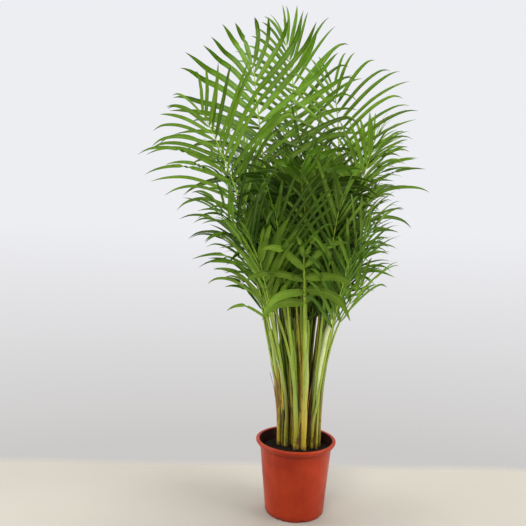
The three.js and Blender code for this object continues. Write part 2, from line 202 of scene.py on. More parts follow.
def surface(tree, base, rough, specular=0.5, normal=None):
    inputs = {"Base Color": base, "Roughness": rough, "Specular IOR Level": specular}
    if normal is not None:
        inputs["Normal"] = normal
    return addNode(tree, "ShaderNodeBsdfPrincipled", inputs).outputs[0]


def mixShader(tree, share, first, second):
    return addNode(tree, "ShaderNodeMixShader", {0: share, 1: first, 2: second}).outputs[0]


def endMaterial(tree, shader):
    out = addNode(tree, "ShaderNodeOutputMaterial")
    tree.links.new(shader, out.inputs["Surface"])


def bumpFrom(tree, height, strength, distance):
    return addNode(tree, "ShaderNodeBump",
                   {"Height": height, "Strength": strength, "Distance": distance}).outputs[0]


leafLook = {
    "shade": (0.0020, 0.014, 0.0010),
    "deep": (0.009, 0.055, 0.0035),
    "fresh": (0.195, 0.420, 0.026),
    "young": (0.340, 0.540, 0.045),
    "rib": (0.46, 0.62, 0.14),
    "dryTip": (0.22, 0.16, 0.08),
    "glow": (0.34, 0.56, 0.032),
    "glowAmount": 0.38,
    "glowInside": 0.08,           # what is left of it in the middle of the clump
    "gloss": 0.37,
    "specular": 0.22,
}


def makeLeafMaterial():
    look = leafLook
    material, tree = startMaterial("leafBlade")
    tint, along = painted(tree, "tint"), painted(tree, "along")
    across, ageAndLight = painted(tree, "across"), painted(tree, "age")
    inner = painted(tree, "inner")
    base = mixColour(tree, tint, look["deep"], look["fresh"])
    # the frond's age and, on the sunny fronds, painted light make the green paler and yellower
    base = mixColour(tree, calc(tree, "MULTIPLY", ageAndLight, 0.7), base, look["young"])
    # painted shade: leaflets deep in the middle of the clump are darkened towards the shade colour
    base = mixColour(tree, calc(tree, "MULTIPLY", inner, 0.9), base, look["shade"])
    cloud = mapRange(tree, speckle(tree, 45, 3), 0.35, 0.7, 0.0, 0.35)
    base = mixColour(tree, cloud, base, look["deep"])
    stripes = calc(tree, "ABSOLUTE", calc(tree, "SINE", calc(tree, "MULTIPLY", across, 15.0)))
    base = mixColour(tree, mapRange(tree, stripes, 0.0, 1.0, 0.14, 0.0), base, look["young"])
    offRib = calc(tree, "ABSOLUTE", across)
    base = mixColour(tree, mapRange(tree, offRib, 0.03, 0.13, 0.5, 0.0), base, look["rib"])
    uneven = calc(tree, "SUBTRACT", speckle(tree, 160, 2), 0.5)
    dry = calc(tree, "ADD", along, calc(tree, "MULTIPLY", uneven, 0.18))
    base = mixColour(tree, mapRange(tree, dry, 0.90, 1.0, 0.0, 0.85), base, look["dryTip"])
    ridges = bumpFrom(tree, stripes, 0.25, 0.0004)
    body = surface(tree, base, look["gloss"], look["specular"], ridges)
    # painted shade: deep in the clump the glow colour is dimmed and less light comes through the blade
    glow = mixColour(tree, calc(tree, "MULTIPLY_ADD", inner, -0.55, 0.6), base, look["glow"])
    through = addNode(tree, "ShaderNodeBsdfTranslucent", {"Color": glow, "Normal": ridges})
    share = mapRange(tree, inner, 0.0, 0.8, look["glowAmount"], look["glowInside"])
    endMaterial(tree, mixShader(tree, share, body, through.outputs[0]))
    return material


stalkLook = {
    "low": (0.29, 0.38, 0.04),
    "high": (0.42, 0.60, 0.05),
    "edge": (0.09, 0.20, 0.02),
    "gloss": 0.36,
}


def makeStalkMaterial():
    look = stalkLook
    material, tree = startMaterial("leafStalk")
    base = mixColour(tree, painted(tree, "along"), look["low"], look["high"])
    streaks = speckle(tree, 120, 4, (1, 1, 0.06))
    base = mixColour(tree, mapRange(tree, streaks, 0.45, 0.72, 0.0, 0.5), base, look["edge"])
    ridges = bumpFrom(tree, streaks, 0.3, 0.0006)
    endMaterial(tree, surface(tree, base, look["gloss"], normal=ridges))
    return material


caneLook = {
    "gold": (0.52, 0.37, 0.035),
    "olive": (0.050, 0.072, 0.012),
    "lime": (0.27, 0.42, 0.035),
    "green": (0.036, 0.105, 0.010),
    "scar": (0.12, 0.07, 0.03),
    "stain": (0.100, 0.034, 0.009),
    "shadow": (0.007, 0.014, 0.001),
    "gloss": 0.27,
    "specular": 0.5,
}


# gold or olive near the soil, lime or green further up
def stemColour(tree):
    look = caneLook
    rise, tint = painted(tree, "rise"), painted(tree, "tint")
    lower = mixColour(tree, tint, look["olive"], look["gold"])
    upper = mixColour(tree, tint, look["green"], look["lime"])
    change = mapRange(tree, calc(tree, "ADD", rise, painted(tree, "lime")), 0.30, 0.80)
    return mixColour(tree, change, lower, upper)


# painted shade: the side that looks into the clump is darkened towards the shadow colour
def paintShadeInside(tree, base):
    amount = calc(tree, "MULTIPLY", painted(tree, "inward"), 0.85)
    return mixColour(tree, amount, base, caneLook["shadow"])


def makeCaneMaterial():
    look = caneLook
    material, tree = startMaterial("caneSkin")
    rise, scar = painted(tree, "rise"), painted(tree, "scar")
    base = stemColour(tree)
    streaks = speckle(tree, 150, 5, (1, 1, 0.07))
    base = mixColour(tree, mapRange(tree, streaks, 0.48, 0.75, 0.0, 0.6), base, look["olive"])
    spots = speckle(tree, 90, 4, (1, 1, 0.45))
    nearFoot = mapRange(tree, rise, 0.0, 0.55, 0.9, 0.15)
    spotted = calc(tree, "MULTIPLY", mapRange(tree, spots, 0.53, 0.62), nearFoot)
    base = mixColour(tree, spotted, base, look["stain"])
    base = mixColour(tree, mapRange(tree, rise, 0.0, 0.05, 0.9, 0.0), base, look["stain"])
    base = mixColour(tree, calc(tree, "MULTIPLY", scar, 0.7), base, look["scar"])
    # painted shade on the side that looks into the clump
    base = paintShadeInside(tree, base)
    rough = mapRange(tree, spotted, 0.0, 1.0, look["gloss"], 0.75)
    ridges = bumpFrom(tree, streaks, 0.35, 0.0008)
    endMaterial(tree, surface(tree, base, rough, look["specular"], ridges))
    return material


sheathLook = {
    "pale": (0.62, 0.68, 0.33),
    "green": (0.16, 0.27, 0.035),
    "dry": (0.16, 0.065, 0.018),
    "dryPale": (0.46, 0.27, 0.09),
    "gloss": 0.34,
    "specular": 0.45,
    "dryGloss": 0.8,
}


def makeSheathMaterial():
    look = sheathLook
    material, tree = startMaterial("leafSheath")
    along = painted(tree, "along")
    stalkWards = mapRange(tree, along, 0.45, 1.0, 0.0, 0.9)
    base = mixColour(tree, stalkWards, stemColour(tree), stalkLook["low"])
    bloom = calc(tree, "MULTIPLY", painted(tree, "bloom"), mapRange(tree, along, 0.05, 0.4))
    base = mixColour(tree, bloom, base, look["pale"])
    streaks = speckle(tree, 170, 5, (1, 1, 0.05))
    base = mixColour(tree, mapRange(tree, streaks, 0.46, 0.74, 0.0, 0.6), base, look["green"])
    foot = calc(tree, "SUBTRACT", along, calc(tree, "MULTIPLY", streaks, 0.22))
    mouth = mapRange(tree, foot, -0.10, 0.03, 0.9, 0.0)
    torn = calc(tree, "MULTIPLY", mouth, painted(tree, "torn"))
    # the mouth goes brown where torn, and the side that looks into the clump gets painted shade
    base = paintShadeInside(tree, mixColour(tree, torn, base, look["dry"]))
    ridges = bumpFrom(tree, streaks, 0.4, 0.0008)
    endMaterial(tree, surface(tree, base, look["gloss"], look["specular"], ridges))
    return material


def makeDryMaterial():
    look = sheathLook
    material, tree = startMaterial("drySheath")
    streaks = speckle(tree, 200, 5, (1, 1, 0.05))
    base = mixColour(tree, mapRange(tree, streaks, 0.35, 0.7), look["dry"], look["dryPale"])
    base = mixColour(tree, calc(tree, "MULTIPLY", painted(tree, "tint"), 0.6), base, look["dry"])
    ridges = bumpFrom(tree, streaks, 0.6, 0.001)
    endMaterial(tree, surface(tree, base, look["dryGloss"], normal=ridges))
    return material


potLook = {
    "clay": (0.40, 0.034, 0.006),
    "deep": (0.29, 0.020, 0.003),
    "dust": (0.52, 0.10, 0.04),
    "soilStainAndShade": (0.014, 0.006, 0.005),
    "gloss": 0.33,
    "specular": 0.25,
}


def makePotMaterial():
    look = potLook
    material, tree = startMaterial("potPlastic")
    height = addNode(tree, "ShaderNodeSeparateXYZ",
                     {0: addNode(tree, "ShaderNodeTexCoord").outputs["Object"]}).outputs["Z"]
    cloud = speckle(tree, 14, 5)
    base = mixColour(tree, mapRange(tree, cloud, 0.35, 0.65), look["clay"], look["deep"])
    drips = speckle(tree, 60, 4, (1, 1, 0.12))
    base = mixColour(tree, mapRange(tree, drips, 0.52, 0.75, 0.0, 0.16), base, look["dust"])
    grit = speckle(tree, 420, 2)
    base = mixColour(tree, mapRange(tree, grit, 0.62, 0.72, 0.0, 0.2), base, look["dust"])
    unevenHeight = calc(tree, "ADD", height, calc(tree, "MULTIPLY", cloud, 0.01))
    lowEdge = mapRange(tree, unevenHeight, 0.004, 0.018, 0.5, 0.0)
    base = mixColour(tree, lowEdge, base, look["soilStainAndShade"])
    # the inside wall is darkened nearly to the soil's colour: partly soil dust, partly painted shade in
    # the pot's hollow
    inside = calc(tree, "MULTIPLY", painted(tree, "inside"), 0.97)
    base = mixColour(tree, inside, base, look["soilStainAndShade"])
    rough = mapRange(tree, cloud, 0.3, 0.7, look["gloss"] - 0.05, look["gloss"] + 0.12)
    grain = bumpFrom(tree, speckle(tree, 700, 2), 0.12, 0.0003)
    endMaterial(tree, surface(tree, base, rough, look["specular"], grain))
    return material


soilLook = {
    "wet": (0.004, 0.003, 0.002),
    "crumb": (0.012, 0.008, 0.005),
    "fibre": (0.060, 0.036, 0.018),
    "gloss": 0.95,
    "specular": 0.15,
}


def makeSoilMaterial():
    look = soilLook
    material, tree = startMaterial("peat")
    fine, coarse = speckle(tree, 380, 4), speckle(tree, 90, 4)
    base = mixColour(tree, mapRange(tree, coarse, 0.35, 0.7), look["wet"], look["crumb"])
    base = mixColour(tree, mapRange(tree, fine, 0.60, 0.74, 0.0, 0.6), base, look["fibre"])
    base = mixColour(tree, calc(tree, "MULTIPLY", painted(tree, "tint"), 0.5), base, look["fibre"])
    grain = bumpFrom(tree, fine, 0.8, 0.002)
    endMaterial(tree, surface(tree, base, look["gloss"], look["specular"], grain))
    return material


leafBlade, leafStalk = makeLeafMaterial(), makeStalkMaterial()
caneSkin, leafSheath, drySheath = makeCaneMaterial(), makeSheathMaterial(), makeDryMaterial()
potPlastic, peat = makePotMaterial(), makeSoilMaterial()
print("finishes made")


# the node's points without doubles, and which points share an edge
def weldedNode(name):
    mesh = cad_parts[name].data
    points, known, numbers = [], {}, []
    for vertex in mesh.vertices:
        key = tuple(round(c * 1e5) for c in vertex.co)
        if key not in known:
            known[key] = len(points)
            points.append(vertex.co.copy())
        numbers.append(known[key])
    links = [set() for point in points]
    for polygon in mesh.polygons:
        corners = [numbers[i] for i in polygon.vertices]
        for a, b in zip(corners, corners[1:] + corners[:1]):
            links[a].add(b)
            links[b].add(a)
    return points, links


def widthOf(ring):
    first = ring[0]
    partner = min(ring[1:], key=lambda p: (p - first).length)
    others = [p for p in ring[1:] if p is not partner]
    return (first + partner) / 2 - (others[0] + others[1]) / 2


# each leaflet's ring centres, found from its tip inwards, and the middle line of the stalk
def readFrond(name):
    points, links = weldedNode(name)
    leaflets, used = [], set()
    for tip, near in enumerate(links):
        if len(near) != 4 or min((points[tip] - points[j]).length for j in near) < 0.01:
            continue
        rings, seen = [set(near)], {tip} | near
        while len(rings) < 3:
            following = set().union(*(links[j] for j in rings[-1])) - seen
            rings.append(following)
            seen |= following
        outer, inner, root = [[points[j] for j in ring] for ring in rings]
        used |= seen
        leaflets.append({
            "at": meanOf(root), "steps": [meanOf(inner), meanOf(outer), points[tip]],
            "wide": [widthOf(inner), widthOf(outer)], "root": root,
        })
    bare = sorted((p for i, p in enumerate(points) if i not in used), key=lambda p: p.z)
    stalk = [meanOf(bare[i:i + 4]) for i in range(0, len(bare) - 3, 4)]
    leaflets.sort(key=lambda leaf: leaf["at"].z)
    pairs = []
    for leaf in leaflets:
        if pairs and len(pairs[-1]) < 2 and (pairs[-1][0]["at"] - leaf["at"]).length < 0.008:
            pairs[-1].append(leaf)
        else:
            pairs.append([leaf])
    pairs = [pair for pair in pairs if len(pair) == 2]
    side = None
    for pair in pairs:
        apart = pair[0]["at"] - pair[1]["at"]
        if side is not None and apart.dot(side) < 0:
            pair.reverse()
            apart = -apart
        side = apart
    middles = stalk + [meanOf(a["root"] + b["root"]) for a, b in pairs]
    return pairs, middles, len(stalk)


# a cane's ring centres from its foot up, and the radius of each ring
def readCane(name, corners=6):
    points = sorted(weldedNode(name)[0], key=lambda p: p.z)
    rings = [points[i:i + corners] for i in range(0, len(points) - corners + 1, corners)]
    centres = [meanOf(ring) for ring in rings]
    radii = [sum((p - c).length for p in ring) / corners for ring, c in zip(rings, centres)]
    return centres, radii


caneNames = sorted(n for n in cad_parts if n.startswith("cane"))
shootNames = sorted(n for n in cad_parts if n.startswith("shoot"))
frondNames = sorted(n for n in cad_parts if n.startswith("frond"))
caneLines = {name: readCane(name) for name in caneNames + shootNames}
clumpMiddle = flat(meanOf([caneLines[name][0][1] for name in caneNames]))
clumpHalf = 0.05                  # how far out a stem has to stand to be one of the outer ones


def axisAt(name, z):
    centres = caneLines[name][0]
    for a, b in zip(centres, centres[1:]):
        if z <= b.z:
            return lerp(a, b, (z - a.z) / (b.z - a.z))
    return lerp(centres[-2], centres[-1], (z - centres[-2].z) / (centres[-1].z - centres[-2].z))


def nearestCane(point):
    def away(name):
        centres = caneLines[name][0]
        z = min(max(point.z, centres[0].z), centres[-1].z)
        return (axisAt(name, z) - point).length
    return min(caneNames, key=away)


# how far a point on a stem, on the side that faces this way, looks into the clump, less so higher up:
# the mask of the painted shade
def inwardAt(point, way):
    out = flat(point) - clumpMiddle
    out = out / max(out.length, clumpHalf)
    return (1 - smoothStep(way.dot(out), -0.35, 0.45)) * (1 - 0.7 * smoothStep(point.z, 0.30, 0.50))


caneMake = {
    "sides": 16,
    "ringGap": 0.036,             # distance between leaf scars
    "ringSwell": 0.08,
    "ringDeep": 0.0013,
    "footSwell": 0.12,
    "steps": 110,
    # from olive, 0, to gold, 1
    "gold": {"cane_01": 0.95, "cane_02": 0.2, "cane_03": 0.85, "cane_04": 1.0, "cane_05": 0.8,
             "cane_06": 0.4, "cane_09": 0.35, "cane_10": 0.75, "cane_11": 0.5,
             "shoot_01": 0.3, "shoot_02": 0.1, "shoot_04": 0.8},
    "usualGold": 0.2,
    # how far down it is still lime
    "lime": {"cane_03": 0.35, "cane_05": 0.25, "cane_10": 0.2, "shoot_04": 0.4},
    "dead": ["shoot_03"],
}


frondMake = {
    "leafletGap": 0.0185,         # real distance between leaflets along the midrib
    "tidyGap": 0.0225,
    "wideGap": {"frond_19": 0.032, "frond_12": 0.024, "frond_32": 0.024},
    "bladeSteps": 14,
    "widest": 0.0047,             # half width of a full leaflet
    "broad": {"frond_01": 1.1, "frond_02": 1.5, "frond_12": 1.25, "frond_16": 1.35,
              "frond_19": 2.3, "frond_21": 1.2, "frond_27": 1.7, "frond_32": 1.5},
    # how pale and yellow its green is, up to 1: partly a young frond's paler green, partly painted
    # light, with fronds in brighter light drawn paler
    "sunny": {"frond_01": 0.4, "frond_02": 0.45, "frond_03": 0.7, "frond_04": 0.5, "frond_05": 0.6,
              "frond_12": 0.8, "frond_19": 0.85, "frond_21": 0.7, "frond_26": 0.9, "frond_27": 0.1,
              "frond_28": 1.0, "frond_32": 0.8},
    "tidy": ["frond_01", "frond_02", "frond_03"],     # the newest fronds have the most even leaflets
    # how far leaflets leave their row
    "stray": {"frond_12": 1.8, "frond_19": 3.2, "frond_32": 0.7},
    "usualStray": 1.15,
    "tidyStray": 0.45,
    "fullLength": 0.10,           # a shorter leaflet is narrower too
    "lengths": [(0, 0.8), (0.35, 1.0), (0.64, 1.0), (1.0, 0.42)],      # along the frond
    "longest": 1.45,              # how far a short leaflet may be drawn out
    "thickness": 0.00045,
    "roof": 0.40,                 # how steeply each half falls from the rib, in radians
    "hang": 0.22,                 # how far the blade leans down along its length
    "arch": {"frond_02": 0.22, "frond_04": 0.12},      # and how much further here
    "curl": 0.7,                  # how far the dry tip turns down
    "nod": {"frond_01": 0.35, "frond_02": 0.8},       # how far upright leaflets bend outwards
    "usualNod": 0.15,
    "bow": {"frond_02": 2.4},     # how far the ends of the upper leaflets bow to the front
    "vee": 0.35,                  # how far the two rows of a tidy frond stand up, in radians
    "twist": 0.5,
    "stalkSteps": 30,
    "stalkFoot": 0.0035,
    "ribProud": 0.0012,           # how far the midrib stands over the leaflets' feet
    "stalkTip": 0.0009,
    "shaded": [1.6, 1.4, 1.2, 0.9, 0.25],      # how deep in shade a leaflet of the middle may be
}
bladeStops = [0, 0.26, 0.64, 1]        # where a leaflet bends, along its length
bladeShape = [(0, 0.26), (0.03, 0.5), (0.08, 0.8), (0.16, 0.97), (0.3, 1.0), (0.5, 0.97),
              (0.66, 0.86), (0.78, 0.69), (0.87, 0.47), (0.93, 0.27), (0.97, 0.12), (1.0, 0.02)]
# across the blade from edge, -1, to edge, 1, and back along its underside
bladeRing = [(-1, 0), (-0.5, 0), (0, 0), (0.5, 0), (1, 0), (0.5, 1), (0, 1), (-0.5, 1)]


def addBlade(skin, leaf, forward, top, pick):
    make = frondMake
    root, steps = leaf["at"], leaf["steps"]
    length = (steps[0] - root).length + (steps[1] - steps[0]).length + (steps[2] - steps[1]).length
    line = [root] + steps
    full = min(1.0, length / make["fullLength"])
    half = make["widest"] * leaf["broad"] * full * pick.uniform(0.8, 1.1)
    hang = make["hang"] * pick.uniform(-0.2, 1.2) + leaf["arch"]
    curl = make["curl"] * pick.uniform(0.2, 1.5)
    twist = make["twist"] * pick.uniform(-1, 1)
    tint = min(1, max(0, pick.gauss(0.5, 0.26)))
    outward = flat(root - clumpMiddle).normalized()
    rings = []
    at, before = root.copy(), 0
    for k in range(make["bladeSteps"] + 1):
        s = (k / make["bladeSteps"]) ** 0.92
        after = alongCurve(line, bladeStops, min(1, s + 0.02))
        ahead = after - alongCurve(line, bladeStops, max(0, s - 0.02))
        sag = hang * smoothStep(s, 0.3, 1.2) + curl * smoothStep(s, 0.72, 1.05) ** 2
        way = ahead.normalized() - up * sag
        way += outward * (leaf["nod"] * smoothStep(s, 0.35, 1.1))
        way.y -= leaf["bow"] * smoothStep(s, 0.62, 0.86)
        way.normalize()
        at = at + way * (length * (s - before))
        before = s
        wide = lerp(leaf["wide"][0], leaf["wide"][1], s).normalized()
        if wide.dot(forward) < 0:
            wide = -wide
        wide = flatTo(lerp(forward, wide, smoothStep(s, 0, 0.25)), way)
        wide = Matrix.Rotation(twist * (s - 0.3), 3, way) @ wide
        face = way.cross(wide).normalized()
        if face.dot(top) < 0:
            face = -face
        w = half * onProfile(bladeShape, s)
        fall = make["roof"] * (1 - 0.6 * s)
        thick = make["thickness"] * (1 - 0.6 * s)
        inner = leaf["inner"] * (1 - 0.6 * s)
        ring = []
        for across, under in bladeRing:
            lean = abs(across) * w
            place = at + wide * (math.copysign(lean, across) * math.cos(fall))
            place = place - face * (lean * math.sin(fall))
            place = place - face * (thick * under * (1.6 if across == 0 else 1))
            ring.append(skin.point(place, along=s, across=across, tint=tint,
                                   age=leaf["age"], inner=inner))
        rings.append(ring)
    skin.tube(rings)


def addTube(skin, centres, frames, radii, slot, values, sides=8):
    rings = []
    for n, (centre, (side, top), (wide, deep)) in enumerate(zip(centres, frames, radii)):
        ring = []
        for i in range(sides):
            a = 2 * math.pi * i / sides
            off = side * (wide * math.cos(a)) + top * (deep * math.sin(a))
            ring.append(skin.point(centre + off, **values(n, centre, off)))
        rings.append(ring)
    skin.tube(rings, slot)


def mixLeaves(a, b, t):
    return {
        "at": lerp(a["at"], b["at"], t),
        "steps": [lerp(p, q, t) for p, q in zip(a["steps"], b["steps"])],
        "wide": [lerp(p, q if p.dot(q) > 0 else -q, t) for p, q in zip(a["wide"], b["wide"])],
    }


def leafLength(leaf):
    line = [leaf["at"]] + leaf["steps"]
    return sum((b - a).length for a, b in zip(line, line[1:]))


def addLeaflets(skin, name, pairs, leafyLength, ahead, topMean, age, pick):
    # the frame's leaflets stand wider apart than a real frond's, so more are grown between them
    make = frondMake
    isTidy = name in make["tidy"]
    gap = make["wideGap"].get(name, make["tidyGap" if isTidy else "leafletGap"])
    count = max(len(pairs), round(leafyLength / gap) + 1)
    longest = max(leafLength(leaf) for pair in pairs for leaf in pair)
    stray = make["stray"].get(name, make["tidyStray" if isTidy else "usualStray"])
    for hand in (0, 1):
        for k in range(count):
            f = k / (count - 1) * (len(pairs) - 1)
            if 0 < k < count - 1:
                shift = 0.22 * hand - 0.11 + pick.uniform(-0.06, 0.06)
                f += shift * (len(pairs) - 1) / (count - 1)
            i = min(int(f), len(pairs) - 2)
            leaf = mixLeaves(pairs[i][hand], pairs[i + 1][hand], f - i)
            turn = (Matrix.Rotation(pick.gauss(0, 0.07) * stray, 3, topMean)
                    @ Matrix.Rotation(pick.gauss(0, 0.10) * stray, 3, ahead))
            if isTidy:
                way = (leaf["steps"][0] - leaf["at"]).normalized()
                turn = turn @ Matrix.Rotation(make["vee"], 3, way.cross(topMean))
            wished = longest * onProfile(make["lengths"], k / (count - 1)) * 0.93
            stretch = max(1.0, min(make["longest"], wished / leafLength(leaf)))
            stretch *= pick.uniform(0.92, 1.03)
            root = leaf["at"]
            leaf["steps"] = [root + turn @ ((p - root) * stretch) for p in leaf["steps"]]
            leaf["age"] = min(1, max(0, age + pick.gauss(0, 0.12)))
            leaf["broad"] = make["broad"].get(name, 1.0)
            leaf["nod"] = make["nod"].get(name, make["usualNod"]) * pick.uniform(0.5, 1.3)
            leaf["arch"] = make["arch"].get(name, 0.0)
            upper = smoothStep(k / count, 0.35, 0.55)
            leaf["bow"] = make["bow"].get(name, 0.0) * upper * pick.uniform(0.5, 1.2)
            # painted shade: leaflets near the clump's middle, between these heights, are marked to be
            # drawn darker
            leaf["inner"] = 1 - smoothStep(flat(root).length, 0.09, 0.17)
            leaf["inner"] *= pick.choice(make["shaded"])
            leaf["inner"] *= smoothStep(root.z, 0.50, 0.62) * (1 - smoothStep(root.z, 0.76, 0.90))
            addBlade(skin, leaf, ahead, topMean, pick)


sheathMake = {
    "usualLong": 0.115,
    "long": {"frond_30": 0.19},
    "steps": 16,
    "sides": 14,
    "bloom": {"frond_08": 0.7, "frond_10": 0.3, "frond_12": 0.4, "frond_16": 0.5, "frond_30": 1.0},
    "usualBloom": 0.12,           # the pale dust on it
    "bulge": {"frond_08": 1.3, "frond_16": 1.15, "frond_30": 1.75},
    # how far over the stalk's foot it closes
    "closing": {"frond_08": 0.07, "frond_16": 0.06, "frond_30": 0.10},
    "usualClosing": 0.035,
    "overSoil": 0.03,             # the lowest that its mouth may be
    "torn": 0.35,                 # share of the sheaths whose mouth is brown
}


# wraps the cane below the stalk's foot and closes into the stalk
def addSheath(skin, name, middles, stops, pick):
    make = sheathMake
    cane = nearestCane(middles[0])
    caneCentres, caneRadii = caneLines[cane]
    caneRadius = sum(caneRadii[:4]) / 4
    ground, high = caneCentres[1].z, caneCentres[-1].z
    tint = caneMake["gold"].get(cane, caneMake["usualGold"])
    lime = caneMake["lime"].get(cane, 0.0)
    bloom, bulge = make["bloom"].get(name, make["usualBloom"]), make["bulge"].get(name, 1.0)
    torn = 1.0 if pick.random() < make["torn"] else 0.0
    long = make["long"].get(name, make["usualLong"] * pick.uniform(0.7, 1.2))
    foot, closing = middles[0].z, make["closing"].get(name, make["usualClosing"])
    low = max(foot - long, ground + make["overSoil"])
    closingFrom = 0.3 + 2 * (closing - make["usualClosing"])
    off = middles[0] - axisAt(cane, foot)
    centres, radii, frames = [], [], []
    for k in range(make["steps"] + 1):
        t = k / make["steps"]
        z = lerp(low, foot + closing, t)
        onCane = axisAt(cane, z)
        onStalk = alongCurve(middles, stops, z - foot) if z > foot else onCane + off
        centres.append(lerp(onCane, onStalk, smoothStep(t, 0.25, 0.95)))
        wrap = caneRadius * (1.02 + 0.16 * smoothStep(t, 0.0, 0.5))
        wrap *= lerp(1, bulge, smoothStep(t, 0, 0.3))
        size = lerp(wrap, frondMake["stalkFoot"] * 1.02, smoothStep(t, closingFrom, 1.0))
        radii.append((size, size))
        frames.append(levelFrame)

    def values(n, centre, off):
        return {"along": n / make["steps"], "tint": tint, "lime": lime, "bloom": bloom, "torn": torn,
                "rise": (centre.z - ground) / (high - ground),
                "inward": inwardAt(centre, off.normalized())}

    addTube(skin, centres, frames, radii, 2, values, make["sides"])


def makeFrond(name):
    make = frondMake
    pick = random.Random(name)
    pairs, middles, bareCount = readFrond(name)
    # painted light on the sunny fronds, a random age on the rest
    age = make["sunny"].get(name, min(1, max(0, pick.gauss(0.3, 0.25))))
    skin = Skin()
    stops = stopsOf(middles)
    total = stops[-1]
    ahead = (middles[-1] - middles[bareCount]).normalized()
    sideMean = flatTo(meanOf([(a["at"] - b["at"]).normalized() for a, b in pairs]), ahead)
    topMean = sideMean.cross(ahead)
    firstSteps = [leaf["steps"][0] - leaf["at"] for pair in pairs for leaf in pair]
    if meanOf([step.normalized() for step in firstSteps]).dot(topMean) < 0:
        topMean = -topMean
    addLeaflets(skin, name, pairs, total - stops[bareCount], ahead, topMean, age, pick)
    steps = make["stalkSteps"]
    centres = [alongCurve(middles, stops, total * k / steps) for k in range(steps + 1)]
    centres = [c + topMean * (make["ribProud"] * smoothStep(k / steps, 0.2, 0.5))
               for k, c in enumerate(centres)]
    frames, radii = [], []
    for k in range(steps + 1):
        way = (centres[min(k + 1, steps)] - centres[max(k - 1, 0)]).normalized()
        side = flatTo(sideMean, way)
        frames.append((side, way.cross(side)))
        size = lerp(make["stalkFoot"], make["stalkTip"], (k / steps) ** 1.3)
        radii.append((size, size * 0.82))
    addTube(skin, centres, frames, radii, 1, lambda n, centre, off: {"along": n / steps})
    addSheath(skin, name, middles, stops, pick)
    settle(skin.build(name + "_leaf", [leafBlade, leafStalk, leafSheath]), "leaf", name)


for frondName in frondNames:
    makeFrond(frondName)
print("fronds grown:", len(frondNames))


def makeCane(name):
    make = caneMake
    pick = random.Random(name)
    centres, radii = caneLines[name]
    high, ground = centres[-1].z, centres[1].z
    tint, lime = make["gold"].get(name, make["usualGold"]), make["lime"].get(name, 0.0)
    gap = make["ringGap"] * pick.uniform(0.8, 1.35)
    start = pick.uniform(0, gap)
    stops = stopsOf(centres)
    skin = Skin()
    rings = []
    wobble = pick.uniform(0, 50)
    for k in range(make["steps"] + 1):
        at = alongCurve(centres, stops, stops[-1] * k / make["steps"])
        rise = max(0, (at.z - ground) / (high - ground))
        base = lerp(radii[1], radii[-2] / 1.02, rise) * (1 - 0.5 * smoothStep(rise, 0.93, 1.0))
        offset = (at.z - ground - start) / gap
        fromRing = abs(offset - round(offset)) * gap
        near = math.exp(-(fromRing / make["ringDeep"]) ** 2) * (1 - smoothStep(rise, 0.55, 0.75))
        atFoot = math.exp(-((at.z - ground) / 0.012) ** 2)
        base *= 1 + make["ringSwell"] * near + make["footSwell"] * atFoot
        ring = []
        for i in range(make["sides"]):
            a = 2 * math.pi * i / make["sides"]
            way = outwards(a)
            bulge = 1 + 0.05 * noise.noise(Vector((way.x, way.y, at.z * 30 + wobble)))
            ring.append(skin.point(at + way * (base * bulge), rise=rise, tint=tint, lime=lime,
                                   scar=near, inward=inwardAt(at, way)))
        rings.append(ring)
    skin.tube(rings)
    skinUsed = drySheath if name in make["dead"] else caneSkin
    settle(skin.build(name + "_stem", [skinUsed]), "cane_skin", name)


for caneName in caneNames + shootNames:
    makeCane(caneName)
print("canes made:", len(caneNames), "and shoots:", len(shootNames))


soilTop = 0.1455                  # height of the soil's surface


youngMake = {
    "seed": 12,
    "stems": 58,
    "high": (0.56, 0.84),
    "foot": 0.0030,               # radius at the soil
    "deep": 0.01,                 # how far it starts below the soil
    "splayTop": 0.5,              # above this height it rises straight
    "sway": 0.008,
    "steps": 28,
    "leafyFrom": 0.70,            # where along the stem its leaflets start
    "leafletGap": 0.021,
    "leafletLong": (0.09, 0.16),
    "spread": 0.62,               # angle of a leaflet off its stem, in radians
    "bend": 0.35,                 # how far its end hangs
    "broad": 0.85,
    "nod": 0.1,
}


def addYoungLeaflet(skin, pick, at, way, side):
    make = youngMake
    length = pick.uniform(*make["leafletLong"])
    spread = make["spread"] * pick.uniform(0.6, 1.4)
    line = [at.copy()]
    for part in (0.26, 0.38, 0.36):
        ahead = (way * math.cos(spread) + side * math.sin(spread)).normalized()
        line.append(line[-1] + ahead * (length * part))
        way = (way - up * (make["bend"] * pick.uniform(0.5, 1.5))).normalized()
    # painted shade: every young leaflet is drawn as dark as one deep in the clump
    leaf = {"at": line[0], "steps": line[1:], "wide": [flatTo(way, ahead)] * 2,
            "age": pick.uniform(0, 0.2), "broad": make["broad"], "nod": make["nod"],
            "arch": 0, "bow": 0, "inner": pick.uniform(0.6, 1.3)}
    addBlade(skin, leaf, flatTo(way, side), side.cross(way), pick)


